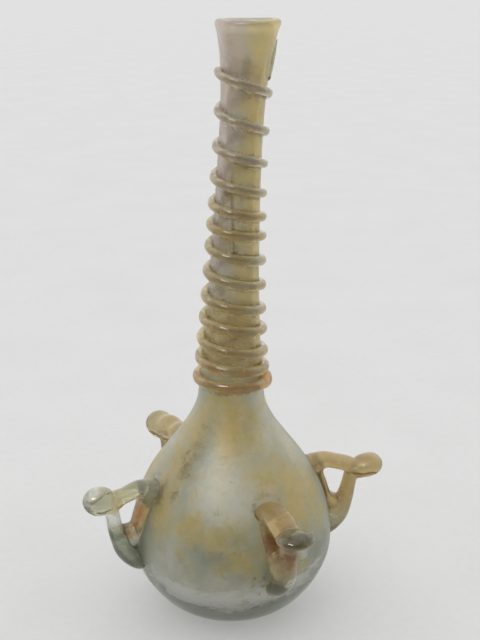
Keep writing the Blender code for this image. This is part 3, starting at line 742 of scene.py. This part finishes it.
class Nodes:
    """Short hand for building one material's node tree."""

    def __init__(self, name):
        self.material = bpy.data.materials.new(name)
        self.material.use_nodes = True
        self.tree = self.material.node_tree
        self.shader = self.tree.nodes["Principled BSDF"]
        place = self.tree.nodes.new("ShaderNodeTexCoord")
        self.place = place.outputs["Object"]

    def link(self, value, socket):
        if isinstance(value, bpy.types.NodeSocket):
            self.tree.links.new(value, socket)
        else:
            socket.default_value = value

    def attribute(self, name):
        node = self.tree.nodes.new("ShaderNodeAttribute")
        node.attribute_name = name
        return node.outputs["Fac"]

    def noise(self, size, detail=4.0, rough=0.6, distortion=0.0, stretch=None):
        """Noise about 0.5, its features one size (metres) across."""
        node = self.tree.nodes.new("ShaderNodeTexNoise")
        node.inputs["Scale"].default_value = 1.0 / size
        node.inputs["Detail"].default_value = detail
        node.inputs["Roughness"].default_value = rough
        node.inputs["Distortion"].default_value = distortion
        place = self.place
        if stretch:
            mapping = self.tree.nodes.new("ShaderNodeMapping")
            mapping.inputs["Scale"].default_value = stretch
            self.link(place, mapping.inputs["Vector"])
            place = mapping.outputs["Vector"]
        self.link(place, node.inputs["Vector"])
        return node.outputs["Fac"]

    def sum(self, *terms):
        """Weighted sum of sockets: (socket, weight) pairs and plain numbers."""
        total = None
        for term in terms:
            node = self.tree.nodes.new("ShaderNodeMath")
            node.operation = "MULTIPLY_ADD"
            socket, weight = term if isinstance(term, tuple) else (1.0, term)
            self.link(socket, node.inputs[0])
            node.inputs[1].default_value = weight
            self.link(0.0 if total is None else total, node.inputs[2])
            total = node.outputs[0]
        return total

    def step(self, value, low, high, out_low=0.0, out_high=1.0):
        """A smooth step of a socket from low to high."""
        node = self.tree.nodes.new("ShaderNodeMapRange")
        node.interpolation_type = "SMOOTHSTEP"
        self.link(value, node.inputs["Value"])
        node.inputs["From Min"].default_value = low
        node.inputs["From Max"].default_value = high
        node.inputs["To Min"].default_value = out_low
        node.inputs["To Max"].default_value = out_high
        return node.outputs["Result"]

    def times(self, first, second):
        node = self.tree.nodes.new("ShaderNodeMath")
        node.operation = "MULTIPLY"
        self.link(first, node.inputs[0])
        self.link(second, node.inputs[1])
        return node.outputs[0]

    def mix(self, share, first, second):
        """Two colours mixed by a share."""
        node = self.tree.nodes.new("ShaderNodeMix")
        node.data_type = "RGBA"
        # the node's colours are its inputs 6 and 7 and its output 2
        self.link(share, node.inputs[0])
        self.link(first, node.inputs[6])
        self.link(second, node.inputs[7])
        return node.outputs[2]

    def blend(self, share, first, second):
        """Two numbers mixed by a share."""
        node = self.tree.nodes.new("ShaderNodeMix")
        node.data_type = "FLOAT"
        self.link(share, node.inputs[0])
        self.link(first, node.inputs[2])
        self.link(second, node.inputs[3])
        return node.outputs[0]


def wall_point(heading, z):
    """A point on the outside of the wall, heading in degrees and height in metres."""
    angle, reach = math.radians(heading), float(radius_at(z))
    ax, ay = axis_at(z)
    return float(ax) + reach * math.cos(angle), float(ay) + reach * math.sin(angle), z


def weathered_glass(name, tints, transmission, film, mottle, polish, matt, relief, glints=()):
    """Old glass: clear where the film has gone, elsewhere hazed, stained ochre, and darker in its crevices
    with dirt and painted shade.
    film shifts how much of it is filmed over, mottle is how blotchy the film is, polish and matt are the
    roughness of bare and filmed glass, relief is how uneven it feels, and glints are small glassy pimples
    painted white as glints."""
    n = Nodes(name)
    fine = n.noise(0.0011, 3.0, 0.65)
    small = n.noise(0.0034, 5.0, 0.62, 0.9)
    broad = n.noise(0.0120, 5.0, 0.58, 1.3)
    veil = n.noise(0.0080, 5.0, 0.62, 1.0)
    runs = n.noise(0.0060, 4.0, 0.60, 0.8, (1.0, 1.0, 0.34))
    pits = n.noise(0.0005, 2.0, 0.6)
    cloud = n.sum((small, 1.5), (broad, 1.3), (runs, 1.0), (fine, 0.5), -2.15)
    mist = n.sum((veil, 1.6), (runs, 0.8), (small, 0.7), (fine, 0.4), -1.75)
    streaks = n.noise(0.0050, 4.0, 0.60, 0.8, (1.0, 1.0, 2.6))
    ochre = n.step(n.sum((n.attribute("ochre"), 1.0), (cloud, mottle), -0.10 + film), -0.12, 0.95)
    haze = n.step(n.sum((n.attribute("haze"), 0.9), (mist, 0.9 * mottle), 0.15 + film), 0.0, 1.0)
    clear = n.step(n.sum((n.attribute("clear"), 1.0), (small, 0.8), (fine, 0.1), -0.48), 0.0, 0.95)
    smudge = n.step(n.sum((n.attribute("smudge"), 1.0), (small, 1.2), (veil, 0.5), -0.85), 0.0, 1.0)
    flake = n.step(n.sum((n.attribute("flake"), 1.0), (streaks, 2.6), (small, 0.6), (fine, 0.1), -1.82),
                   0.08, 0.70)
    stain = n.step(n.sum((n.attribute("stain"), 1.0), (small, 2.2), (fine, 1.0), -1.88), 0.0, 0.80)
    dirt = n.step(n.sum((n.attribute("dirt"), 1.0), (small, 0.7), (fine, 0.6), -0.65), 0.10, 0.90)
    mauve = n.step(n.sum((n.attribute("mauve"), 1.0), (cloud, 0.9), -0.10), 0.0, 1.0)
    gold = n.mix(n.step(n.sum((broad, 0.7), (small, 0.8), (fine, 0.3), -0.90), -0.16, 0.16),
                 tints["ochre"], tints["olive"])
    colour = n.mix(haze, tints["glass"], tints["haze"])
    colour = n.mix(n.times(ochre, 0.95), colour, gold)
    colour = n.mix(n.times(mauve, 0.80), colour, tints["mauve"])
    colour = n.mix(n.times(smudge, 0.75), colour, tints["smudge"])
    # bare glass; on the handles its dark tint is painted shade, the dark that thick glass refracts
    colour = n.mix(n.times(clear, 0.90), colour, tints["clear"])
    # flaking film, and on the handles pale painted highlights
    colour = n.mix(n.times(flake, 0.95), colour, tints["flake"])
    colour = n.mix(n.times(stain, 0.85), colour, tints["stain"])
    # dirt with painted shade in crevices, under the trail and where parts meet
    colour = n.mix(n.times(dirt, 0.80), colour, tints["dirt"])
    colour = n.mix(n.times(n.attribute("seam"), 0.85), colour, tints["seam"])
    speck = n.step(pits, 0.60, 0.76)
    colour = n.mix(n.times(speck, 0.20), colour, tints["dirt"])
    filmed = n.step(n.sum((clear, -0.95), (flake, 0.6), (ochre, 0.15), (mist, 0.25), 0.85), 0.0, 1.0)
    roughness = n.blend(filmed, polish, matt)
    roughness = n.blend(n.attribute("gloss"), roughness, n.sum((roughness, 0.58)))
    roughness = n.blend(dirt, roughness, 0.5)
    bump = n.tree.nodes.new("ShaderNodeBump")
    bump.inputs["Strength"].default_value = relief
    bump.inputs["Distance"].default_value = 0.00010
    n.link(n.sum((fine, 0.4), (small, 0.7), (runs, 0.9), (flake, 0.6)), bump.inputs["Height"])
    normal = bump.outputs["Normal"]
    if glints:
        beads = None
        for heading, height, radius in glints:
            away = n.tree.nodes.new("ShaderNodeVectorMath")
            away.operation = "DISTANCE"
            n.link(n.place, away.inputs[0])
            away.inputs[1].default_value = wall_point(heading, height / 1000)
            bead = n.step(away.outputs["Value"], 0.0, radius / 1000, 1.0, 0.0)
            beads = bead if beads is None else n.sum((beads, 1.0), (bead, 1.0))
        # the glints' white is a painted highlight
        colour = n.mix(n.step(beads, 0.05, 0.45), colour, tints["grit"])
        roughness = n.blend(n.step(beads, 0.10, 0.40), roughness, 0.05)
        pimple = n.tree.nodes.new("ShaderNodeBump")
        pimple.inputs["Strength"].default_value = 1.0
        pimple.inputs["Distance"].default_value = 0.00006
        n.link(beads, pimple.inputs["Height"])
        n.link(normal, pimple.inputs["Normal"])
        normal = pimple.outputs["Normal"]
    n.link(colour, n.shader.inputs["Base Color"])
    n.link(roughness, n.shader.inputs["Roughness"])
    n.link(normal, n.shader.inputs["Normal"])
    n.shader.inputs["IOR"].default_value = 1.5
    n.shader.inputs["Transmission Weight"].default_value = transmission
    return n.material


def tinted(tints, **changes):
    """A set of tints with some of them changed, given as screen colours."""
    return dict(tints, **{key: linear(*colour) for key, colour in changes.items()})


# The dirt tint also paints shade in crevices and joins, the clear tint partly paints shade, and the grit tint
# paints glints white
BODY_TINTS = tinted(
    {}, glass=(208, 212, 198), haze=(242, 240, 230), ochre=(246, 217, 146), olive=(222, 209, 147),
    mauve=(232, 212, 203), clear=(180, 184, 168), smudge=(176, 182, 172), flake=(255, 255, 252),
    stain=(156, 138, 92), dirt=(156, 116, 66), seam=(96, 70, 48), grit=(255, 255, 255))
THREAD_TINTS = tinted(
    BODY_TINTS, glass=(206, 200, 166), haze=(220, 213, 180), ochre=(220, 194, 134), olive=(208, 192, 136),
    mauve=(226, 212, 198), clear=(182, 182, 150), stain=(214, 154, 90), dirt=(160, 126, 80))
# Each handle's bare-glass tint is dark: painted shade for the refraction of the thick glass
HANDLE_TINTS = {
    "left": tinted(BODY_TINTS, glass=(198, 201, 176), haze=(210, 211, 188), ochre=(216, 188, 122),
                   olive=(202, 192, 136), clear=(92, 102, 88), stain=(198, 128, 68)),
    "front": tinted(BODY_TINTS, glass=(196, 188, 152), haze=(204, 196, 162), ochre=(212, 182, 116),
                    olive=(200, 174, 110), clear=(98, 98, 66), stain=(164, 104, 72)),
    "right": tinted(BODY_TINTS, glass=(198, 190, 154), haze=(210, 202, 168), ochre=(214, 183, 118),
                    olive=(202, 178, 116), clear=(136, 138, 110), stain=(176, 114, 60)),
    "back": tinted(BODY_TINTS, glass=(192, 184, 150), haze=(202, 194, 160), ochre=(210, 182, 120),
                   olive=(196, 176, 114), clear=(132, 130, 98), stain=(154, 102, 60)),
}
# Transmission of each handle, and its roughness where bare and where filmed
HANDLE_GLASS = {"left": (0.72, 0.05, 0.12), "front": (0.68, 0.05, 0.26), "right": (0.66, 0.12, 0.30),
                "back": (0.68, 0.08, 0.22)}

vessel_glass = weathered_glass("vessel_weathered_glass", BODY_TINTS, transmission=0.78, film=0.05,
                               mottle=1.25, polish=0.07, matt=0.44, relief=0.22, glints=GLINTS)
thread_glass = weathered_glass("neck_thread_weathered_glass", THREAD_TINTS, transmission=0.78, film=-0.02,
                               mottle=0.50, polish=0.08, matt=0.14, relief=0.03)
handle_glass = {}
for side, (clearness, polish, matt) in HANDLE_GLASS.items():
    handle_glass[side] = weathered_glass(f"handle_{side}_weathered_glass", HANDLE_TINTS[side],
                                         transmission=clearness, film=0.08, mottle=0.85, polish=polish,
                                         matt=matt, relief=0.08)

vessel = build_vessel(vessel_glass)
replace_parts(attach(vessel, "root"), "vessel")
trail = build_trail(thread_glass)
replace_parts(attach(trail, "root"), "neck_thread")
for side in HANDLES:
    handle = build_handle(side, handle_glass[side])
    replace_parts(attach(handle, "root"), f"handle_{side}")


# Floor, light and camera
def paper():
    n = Nodes("paper_floor")
    grain = n.noise(0.004, 5.0, 0.6)
    cloud = n.noise(0.06, 3.0, 0.5)
    tone = n.step(n.sum((grain, 0.5), (cloud, 0.5)), 0.35, 0.65)
    n.link(n.mix(tone, (0.43, 0.43, 0.424, 1), (0.455, 0.455, 0.449, 1)), n.shader.inputs["Base Color"])
    # a faint glow stands in for the light that glass lets through to the floor
    n.shader.inputs["Emission Color"].default_value = (1.0, 1.0, 0.985, 1)
    n.shader.inputs["Emission Strength"].default_value = 0.27
    n.shader.inputs["Roughness"].default_value = 0.9
    n.shader.inputs["Specular IOR Level"].default_value = 0.2
    bump = n.tree.nodes.new("ShaderNodeBump")
    bump.inputs["Strength"].default_value = 0.15
    bump.inputs["Distance"].default_value = 0.0003
    n.link(grain, bump.inputs["Height"])
    n.link(bump.outputs["Normal"], n.shader.inputs["Normal"])
    return n.material


FLOOR_RADIUS = 9
FLOOR_SIDES = 64
floor_turns = [2 * math.pi * k / FLOOR_SIDES for k in range(FLOOR_SIDES)]
floor_mesh = bpy.data.meshes.new("floor")
floor_mesh.from_pydata([(FLOOR_RADIUS * math.cos(a), FLOOR_RADIUS * math.sin(a), 0.0) for a in floor_turns],
                       [], [tuple(range(FLOOR_SIDES))])
floor_mesh.materials.append(paper())
floor = placed("floor", floor_mesh)

# The photograph's view: where the camera stands, and its focal length in pixels of a 640 pixel high picture
AZIMUTH = math.radians(-25)
PITCH = math.radians(19.1)
CAMERA_ASIDE = 0.0037
CAMERA_BACK = 0.3973
CAMERA_Z = 0.2622
FOCAL_PIXELS = 1060
PICTURE_PIXELS = 640
SENSOR_MM = 36
right = Vector((math.cos(AZIMUTH), math.sin(AZIMUTH), 0))
ahead = Vector((-math.sin(AZIMUTH), math.cos(AZIMUTH), 0))
camera = placed("camera", bpy.data.cameras.new("camera"))
camera.data.lens = FOCAL_PIXELS * SENSOR_MM / PICTURE_PIXELS
camera.data.sensor_width = SENSOR_MM
camera.data.clip_start = 0.01
camera.location = right * CAMERA_ASIDE - ahead * CAMERA_BACK + Vector((0, 0, CAMERA_Z))
look = ahead * math.cos(PITCH) - Vector((0, 0, math.sin(PITCH)))
camera.rotation_euler = look.to_track_quat("-Z", "Y").to_euler()
bpy.context.scene.camera = camera


# The window is what the glass mirrors, an area lamp pointed at the flask; the soft sun and the room light
# the rest
window_light = bpy.data.lights.new("window", "AREA")
window_light.shape = "RECTANGLE"
window_light.size = 0.56
window_light.size_y = 0.40
window_light.energy = 8.5
window_light.color = (1.0, 0.99, 0.97)
window = placed("window", window_light)
window.location = right * -0.42 + ahead * -0.75 + Vector((0, 0, 1.05))
window.rotation_euler = (Vector((0, 0, 0.10)) - window.location).to_track_quat("-Z", "Y").to_euler()
window.visible_diffuse = False
sun = bpy.data.lights.new("key", "SUN")
sun.energy = 0.36
sun.angle = math.radians(60)
key = placed("key", sun)
key_from = right * -0.30 - ahead * 0.50 + Vector((0, 0, 1.0))
key.rotation_euler = (-key_from).to_track_quat("-Z", "Y").to_euler()

# the room: pale above and beyond the object, darker behind the camera
world = bpy.data.worlds.new("studio")
bpy.context.scene.world = world
world.use_nodes = True
tree = world.node_tree
place = tree.nodes.new("ShaderNodeTexCoord")
towards = tree.nodes.new("ShaderNodeVectorMath")
towards.operation = "DOT_PRODUCT"
towards.inputs[1].default_value = (-ahead.x, -ahead.y, 0.0)
tree.links.new(place.outputs["Generated"], towards.inputs[0])
shade = tree.nodes.new("ShaderNodeMapRange")
shade.interpolation_type = "SMOOTHSTEP"
shade.inputs["From Min"].default_value = -0.1
shade.inputs["From Max"].default_value = 0.9
shade.inputs["To Min"].default_value = 1.20
shade.inputs["To Max"].default_value = 0.12
tree.links.new(towards.outputs["Value"], shade.inputs["Value"])
background = tree.nodes["Background"]
background.inputs["Color"].default_value = (0.98, 0.99, 1.0, 1)
tree.links.new(shade.outputs["Result"], background.inputs["Strength"])
# seen directly, the backdrop is plain and pale from every side
backdrop = tree.nodes.new("ShaderNodeBackground")
backdrop.inputs["Color"].default_value = (0.99, 1.0, 0.99, 1)
backdrop.inputs["Strength"].default_value = 0.74
seen = tree.nodes.new("ShaderNodeLightPath")
choose = tree.nodes.new("ShaderNodeMixShader")
tree.links.new(seen.outputs["Is Camera Ray"], choose.inputs["Fac"])
tree.links.new(background.outputs["Background"], choose.inputs[1])
tree.links.new(backdrop.outputs["Background"], choose.inputs[2])
tree.links.new(choose.outputs["Shader"], tree.nodes["World Output"].inputs["Surface"])
bpy.context.scene.view_settings.view_transform = "Standard"
